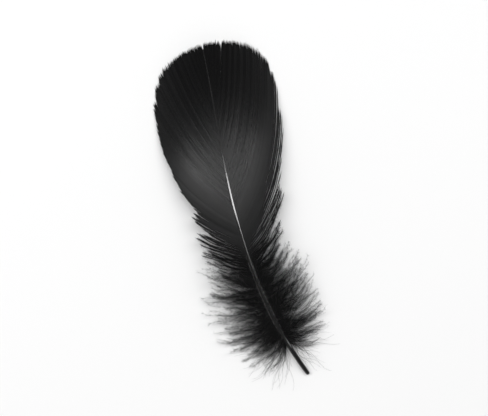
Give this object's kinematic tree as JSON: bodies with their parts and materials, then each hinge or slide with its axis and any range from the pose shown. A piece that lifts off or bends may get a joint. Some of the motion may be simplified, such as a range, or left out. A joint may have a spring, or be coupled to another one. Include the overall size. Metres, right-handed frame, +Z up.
{
  "type": "goose feather",
  "caption": "Black-dyed goose body feather lying hollow side down: a bowed shaft with a bare quill, a blunt cupped vane on each side and loose down at its foot, for crafts and trimming.",
  "frame": {"origin": "On the surface it lies on, under the middle of its bounding box", "axes": "+Y from the quill's end to the tip of the vane, +X to the right of the shaft seen from above, +Z up"},
  "size_m": [0.0534, 0.1305, 0.0091],
  "materials": {
    "shaft": "smooth dyed horn, glossy",
    "vane": "silky, fine combed lines",
    "down": "matte, fluffy"
  },
  "bodies": {
    "root": {"shaft": "shaft", "left_vane": "vane", "right_vane": "vane", "left_down": "down", "right_down": "down"}
  },
  "joints": []
}
